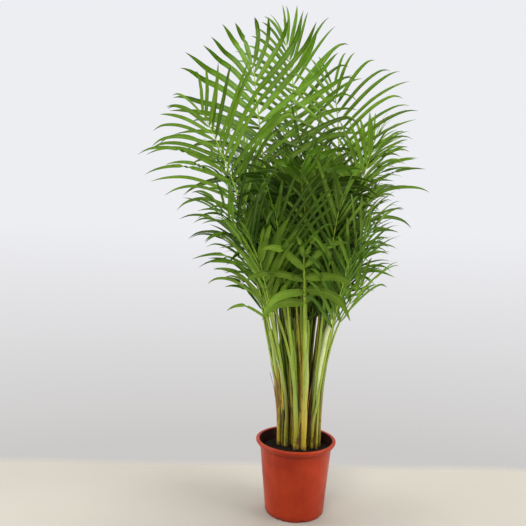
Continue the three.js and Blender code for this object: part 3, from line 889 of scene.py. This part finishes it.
# a thin young frond that rises between two canes, leans as they do and fills the middle of the clump;
# its leaflets and stem carry painted shade, so it also serves as dark filler for the clump's shaded
# middle
def makeYoungFrond(skin, n, pick):
    make = youngMake
    a, b = pick.sample(caneNames, 2)
    share, high = pick.uniform(0.25, 0.75), pick.uniform(*make["high"])
    tint = pick.uniform(0.3, 1.0)
    centres, frames, radii = [], [], []
    for k in range(make["steps"] + 1):
        z = lerp(soilTop - make["deep"], high, k / make["steps"])
        sway = [noise.noise(Vector((n, z * 5, seed))) for seed in (0, 7)]
        low = min(z, make["splayTop"])
        place = lerp(axisAt(a, low), axisAt(b, low), share) + Vector((*sway, 0)) * make["sway"]
        centres.append(Vector((place.x, place.y, z)))
        size = make["foot"] * (1 - 0.75 * smoothStep(k / make["steps"], 0.3, 1.0))
        radii.append((size, size))
        frames.append(levelFrame)

    def values(k, centre, off):
        return {"rise": k / make["steps"], "along": k / make["steps"], "tint": tint, "lime": 0.0,
                "inward": inwardAt(centre, off.normalized())}

    slot = 2 if n % 4 == 0 else 1         # every fourth stem is as bright as a leaf stalk
    addTube(skin, centres, frames, radii, slot, values)
    side = outwards(pick.uniform(0, math.pi))
    stops = stopsOf(centres)
    at = stops[-1] * make["leafyFrom"]
    while at < stops[-1]:
        place = alongCurve(centres, stops, at)
        way = (centres[-1] - place).normalized() if at < stops[-1] * 0.95 else way
        for hand in (1, -1):
            addYoungLeaflet(skin, pick, place, way, side * hand)
        at += make["leafletGap"] * pick.uniform(0.8, 1.3)


def makeYoungFronds():
    pick = random.Random(youngMake["seed"])
    skin = Skin()
    for n in range(youngMake["stems"]):
        makeYoungFrond(skin, n, pick)
    settle(skin.build("young_fronds", [leafBlade, caneSkin, leafStalk]), "leaf")


makeYoungFronds()
print("young fronds grown:", youngMake["stems"])


potMake = {
    "sides": 144,
    "rimRadius": 0.095,
    "rimInner": 0.0865,
    "flare": 0.006,               # how much wider the band is at the top than at its lower edge
    "height": 0.168,
    "lip": 0.0125,
    "wallTop": 0.0845,
    "wallFoot": 0.0695,
    "wall": 0.0018,
    "footRise": 0.005,
    "drains": 8,
    "drainWide": 0.0055,          # half width
    "drainTurn": 12,              # how far the drains are turned from the pot's front, in degrees
}
# a drain's corners, in half widths across and in metres up
drainShape = [(-1, -0.004), (1, -0.004), (1, 0.002), (0.7, 0.0038), (-0.7, 0.0038), (-1, 0.002)]


def turnProfile(skin, profile, sides, values):
    rings = []
    for n, (r, z) in enumerate(profile):
        if r == 0:
            rings.append([skin.point(Vector((0, 0, z)), **values(n))] * sides)
            continue
        turns = [2 * math.pi * i / sides for i in range(sides)]
        rings.append([skin.point(Vector((r * math.cos(a), r * math.sin(a), z)), **values(n))
                      for a in turns])
    for a, b in zip(rings, rings[1:]):
        for i in range(sides):
            j = (i + 1) % sides
            corners = [a[i], a[j], b[j], b[i]]
            skin.face(tuple(c for n, c in enumerate(corners) if c not in corners[:n]))


def arcPoints(cx, cz, radius, fromAngle, toAngle, steps=6):
    angles = [math.radians(lerp(fromAngle, toAngle, k / steps)) for k in range(steps + 1)]
    return [(cx + radius * math.cos(a), cz + radius * math.sin(a)) for a in angles]


def makePot():
    make = potMake
    height, rim, inner = make["height"], make["rimRadius"], make["rimInner"]
    lipFoot = height - make["lip"]
    foot, top, wall, footRise = make["wallFoot"], make["wallTop"], make["wall"], make["footRise"]
    # the underside and the base ring
    profile = [(0, footRise), (foot - 0.008, footRise), (foot - 0.0075, 0.0006), (foot - 0.007, 0)]
    profile += arcPoints(foot - 0.0022, 0.0022, 0.0022, -90, -6)
    # the side, with points close together at its foot for the drains
    profile += [(lerp(foot, top, t), lerp(0.0025, lipFoot - 0.003, t))
                for t in (0.012, 0.02, 0.04, 0.25, 0.5, 0.75, 1)]
    # the band and the rolled rim
    profile += [(top + 0.0006, lipFoot - 0.0008), (top + 0.0018, lipFoot)]
    profile += arcPoints(rim - make["flare"] - 0.0005, lipFoot + 0.0012, 0.0012, -90, -12, 4)
    profile += [(rim - 0.0006, height - 0.005)]
    profile += arcPoints(rim - 0.0022, height - 0.0022, 0.0022, 10, 90)
    profile += arcPoints(inner + 0.0018, height - 0.0018, 0.0018, 90, 180)
    rimTop, insideFrom = len(profile) - 8, len(profile)
    # the inside
    profile += [(inner - 0.0008, height - 0.008), (top - wall, lipFoot - 0.004)]
    profile += [(foot - wall, footRise + 0.005), (foot - wall - 0.004, footRise + 0.0022),
                (0, footRise + 0.0022)]
    skin = Skin()
    turnProfile(skin, profile, make["sides"],
                lambda n: {"inside": smoothStep(n, rimTop, insideFrom)})
    cutDrains(skin.build("pot_shell", [potPlastic], 35))


def cutDrains(pot):
    make = potMake
    foot = make["wallFoot"]
    cutters = Skin()
    for i in range(make["drains"]):
        a = math.radians(make["drainTurn"] - 90 + 360 / make["drains"] * i)
        out, side = outwards(a), sideways(a)
        cutters.tube([[cutters.point(out * r + side * (w * make["drainWide"]) + up * z)
                       for w, z in drainShape] for r in (foot - 0.011, foot + 0.004)])
    cutter = cutters.build("drainCutter", [potPlastic])
    cut = pot.modifiers.new("drains", "BOOLEAN")
    cut.object, cut.operation, cut.solver = cutter, "DIFFERENCE", "EXACT"
    bpy.context.view_layer.update()
    cutPot = pot.evaluated_get(bpy.context.evaluated_depsgraph_get())
    cutMesh = bpy.data.meshes.new_from_object(cutPot)
    pot.modifiers.clear()
    pot.data = cutMesh
    bpy.data.objects.remove(cutter)
    settle(pot, "pot_plastic", "pot")


makePot()
print("pot made")


soilMake = {
    "seed": 5,
    "floor": 0.0075,
    "floorRadius": 0.066,
    "radius": 0.0815,
    "rings": 34,
    "sides": 110,
    "mound": 0.002,
    "edgeDip": 0.003,
    "lumps": 0.0032,
    "crumbs": 620,
    "crumbSize": (0.0007, 0.0026),
    "chips": 70,
}


def soilHeight(x, y):
    make = soilMake
    r = math.hypot(x, y) / make["radius"]
    h = soilTop + make["mound"] * (1 - r * r) - make["edgeDip"] * smoothStep(r, 0.8, 1)
    h += make["lumps"] * noise.fractal(Vector((x * 60, y * 60, 3.1)), 1.0, 2.1, 4)
    return h + 0.0012 * noise.noise(Vector((x * 420, y * 420, 9)))


def addCrumb(skin, pick, chip):
    r = soilMake["radius"] * 0.97 * math.sqrt(pick.random())
    a = pick.uniform(0, 2 * math.pi)
    x, y = r * math.cos(a), r * math.sin(a)
    size = pick.uniform(*soilMake["crumbSize"])
    if chip:
        shape = (size * 2.6, size * 0.6, size * 0.5)
    else:
        shape = (size, size * pick.uniform(0.6, 1), size * 0.7)
    turn = Matrix.Rotation(pick.uniform(0, 6.3), 3, "Z")
    turn = turn @ Matrix.Rotation(pick.uniform(-0.5, 0.5), 3, "X")
    centre = Vector((x, y, soilHeight(x, y) + shape[2] * 0.4))
    shade = pick.uniform(0.3, 1) if chip else pick.random() * 0.5
    corners = []
    for d in ((1, 0, 0), (0, 1, 0), (-1, 0, 0), (0, -1, 0), (0, 0, 1), (0, 0, -1)):
        jitter = pick.uniform(0.75, 1.2)
        corner = Vector([q * s * jitter for q, s in zip(d, shape)])
        corners.append(skin.point(centre + turn @ corner, tint=shade))
    for i in range(4):
        j = (i + 1) % 4
        skin.face((corners[i], corners[j], corners[4]))
        skin.face((corners[j], corners[i], corners[5]))


def makeSoil():
    make = soilMake
    pick = random.Random(make["seed"])
    sides = make["sides"]
    skin = Skin()
    turns = [2 * math.pi * i / sides for i in range(sides)]
    around = [(math.cos(a), math.sin(a)) for a in turns]
    middle = skin.point(Vector((0, 0, soilHeight(0, 0))), tint=0)
    rings = []
    for n in range(1, make["rings"] + 1):
        r = make["radius"] * n / make["rings"]
        rings.append([skin.point(Vector((r * c, r * s, soilHeight(r * c, r * s))), tint=0)
                      for c, s in around])
    low = make["floorRadius"]
    rings.append([skin.point(Vector((low * c, low * s, make["floor"])), tint=0) for c, s in around])
    for i in range(sides):
        skin.face((middle, rings[0][i], rings[0][(i + 1) % sides]))
    for a, b in zip(rings, rings[1:]):
        skin.bridge(b, a)
    skin.face(tuple(reversed(rings[-1])))
    for n in range(make["crumbs"] + make["chips"]):
        addCrumb(skin, pick, n >= make["crumbs"])
    settle(skin.build("soil_peat", [peat], 80), "peat", "soil")


makeSoil()
print("soil made")


dryMake = {
    "seed": 21,
    "strips": 26,
    "steps": 12,
    "wide": 0.0032,
    "long": (0.04, 0.15),
    "low": 0.148,
    "lowSpread": 0.10,
    "high": 0.34,
    "peel": 0.006,                # how far its end may stand off the cane
    "inMiddle": 0.045,            # only the canes this near to the middle carry them
}


def makeDrySheaths():
    make = dryMake
    pick = random.Random(make["seed"])
    skin = Skin()
    middleCanes = [n for n in caneNames if abs(axisAt(n, 0.25).x) < make["inMiddle"]]
    for n in range(make["strips"]):
        cane = pick.choice(middleCanes)
        around = pick.uniform(0, 2 * math.pi)
        low = pick.uniform(make["low"], make["low"] + make["lowSpread"])
        high = min(make["high"], low + pick.uniform(*make["long"]))
        radius = sum(caneLines[cane][1][:4]) / 4 * 1.12
        lean = pick.uniform(-0.6, 0.6)
        peel = pick.uniform(0.0, make["peel"])
        tint = pick.random()
        wide = make["wide"] * pick.uniform(0.35, 1.1)
        rings = []
        for k in range(make["steps"] + 1):
            t = k / make["steps"]
            a = around + lean * t + 0.15 * noise.noise(Vector((n, t * 4, 0)))
            out, side = outwards(a), sideways(a)
            at = axisAt(cane, lerp(low, high, t)) + out * (radius + peel * t * t * 2)
            w = wide * (1 - 0.75 * smoothStep(t, 0.5, 1.0)) * (0.4 + 0.6 * smoothStep(t, 0, 0.15))
            rings.append([skin.point(at + side * (w * s) + out * o, tint=tint)
                          for s, o in ((1, -0.0006), (0, 0.0004), (-1, -0.0006), (0, -0.0008))])
        skin.tube(rings)
    settle(skin.build("dry_sheaths", [drySheath]), "cane_skin")


makeDrySheaths()
print("dry sheaths made")


studio = {
    "floorSize": 2.6,             # half width of the floor
    "floorLine": 0.24,             # how far behind the pot the floor's tone ends
    "floorColour": (0.40, 0.372, 0.325),
    "floorSpots": (0.33, 0.31, 0.275),
    "backHigh": (0.85, 0.855, 0.89),
    "backLow": (0.60, 0.585, 0.575),
    "lightBehind": 0.50,          # the pale backdrop lights the leaves from behind
    "lightBefore": 0.11,
    "lightTint": (0.97, 0.98, 1.0),
    # name, place, what it points at, size, watts and colour
    "lamps": [
        ("softFront", (-0.9, -2.2, 2.3), (0, 0, 0.6), 1.4, 64, (1, 0.98, 0.95)),
        ("softRight", (2.3, -0.9, 1.3), (0, 0, 0.5), 1.5, 66, (1, 0.99, 0.97)),
        ("softLeft", (-2.2, -0.1, 1.2), (0, 0, 0.5), 1.3, 32, (0.97, 0.99, 1)),
        ("softTop", (0.2, 0.7, 3.0), (0, 0, 0.7), 1.6, 76, (0.97, 0.99, 1)),
    ],
    "cameraAt": (-0.115, -1.192, 0.588),
    "pitch": -0.14,               # in degrees, as the next two
    "yaw": 1.20,
    "roll": 1.60,
    "lens": 34.15,
}


def makeFloor():
    skin = Skin()
    half = studio["floorSize"]
    corners = [Vector((x * half, y * half, 0)) for x, y in ((-1, -1), (1, -1), (1, 1), (-1, 1))]
    skin.face(tuple(skin.point(corner) for corner in corners))
    material, tree = startMaterial("paleFloor")
    place = addNode(tree, "ShaderNodeTexCoord").outputs["Object"]
    cloud = speckle(tree, 3, 4)
    spots = mapRange(tree, cloud, 0.3, 0.7, 0.0, 0.25)
    base = mixColour(tree, spots, studio["floorColour"], studio["floorSpots"])
    body = surface(tree, base, 0.75, 0.2)
    # the floor fades out behind the pot and far away
    axes = addNode(tree, "ShaderNodeSeparateXYZ", {0: place})
    unevenLine = calc(tree, "ADD", axes.outputs["Y"], calc(tree, "MULTIPLY", cloud, 0.02))
    edge = mapRange(tree, unevenLine, studio["floorLine"], studio["floorLine"] + 0.05)
    away = addNode(tree, "ShaderNodeVectorMath", {0: place}, operation="LENGTH").outputs["Value"]
    far = mapRange(tree, away, 0.9, half * 0.95)
    clear = addNode(tree, "ShaderNodeBsdfTransparent")
    faded = calc(tree, "MAXIMUM", edge, far)
    endMaterial(tree, mixShader(tree, faded, body, clear.outputs[0]))
    skin.build("floor", [material])


def makeLight(name, at, target, size, power, colour):
    data = bpy.data.lights.new(name, "AREA")
    data.size, data.energy, data.color = size, power, colour
    lamp = bpy.data.objects.new(name, data)
    lamp.location = at
    lamp.rotation_euler = (Vector(target) - Vector(at)).to_track_quat("-Z", "Y").to_euler()
    bpy.context.scene.collection.objects.link(lamp)


# what is seen behind the plant is pale, and what lights it is dimmer
def makeBackdrop():
    world = bpy.data.worlds.new("studio")
    bpy.context.scene.world = world
    world.use_nodes = True
    tree = world.node_tree
    tree.nodes.clear()
    around = addNode(tree, "ShaderNodeTexCoord").outputs["Generated"]
    way = addNode(tree, "ShaderNodeSeparateXYZ", {0: around})
    # painted shade: the backdrop that the camera sees grows darker towards the floor
    rise = mapRange(tree, way.outputs["Z"], -0.34, 0.06)
    tone = mixColour(tree, rise, studio["backLow"], studio["backHigh"])
    seen = addNode(tree, "ShaderNodeBackground", {"Color": tone, "Strength": 1.0})
    power = mapRange(tree, way.outputs["Y"], -0.5, 0.6, studio["lightBefore"], studio["lightBehind"])
    lit = addNode(tree, "ShaderNodeBackground", {"Color": studio["lightTint"], "Strength": power})
    which = addNode(tree, "ShaderNodeLightPath").outputs["Is Camera Ray"]
    both = mixShader(tree, which, lit.outputs[0], seen.outputs[0])
    tree.links.new(both, addNode(tree, "ShaderNodeOutputWorld").inputs["Surface"])


def makeStudio():
    makeFloor()
    makeBackdrop()
    for lamp in studio["lamps"]:
        makeLight(*lamp)


def makeCamera():
    pitch, yaw, roll = (math.radians(studio[k]) for k in ("pitch", "yaw", "roll"))
    level = math.cos(pitch)
    ahead = Vector((math.sin(yaw) * level, math.cos(yaw) * level, math.sin(pitch)))
    right = Vector((math.cos(yaw), -math.sin(yaw), 0))
    over = right.cross(ahead)
    across = right * math.cos(roll) + over * math.sin(roll)
    over = over * math.cos(roll) - right * math.sin(roll)
    data = bpy.data.cameras.new("photoCamera")
    data.lens = studio["lens"]
    data.sensor_width = 36
    camera = bpy.data.objects.new("photoCamera", data)
    turn = Matrix((across, over, -ahead)).transposed().to_4x4()
    camera.matrix_world = Matrix.Translation(studio["cameraAt"]) @ turn
    bpy.context.scene.collection.objects.link(camera)
    bpy.context.scene.camera = camera


makeStudio()
makeCamera()
bpy.context.scene.view_settings.view_transform = "Standard"
print("studio set")
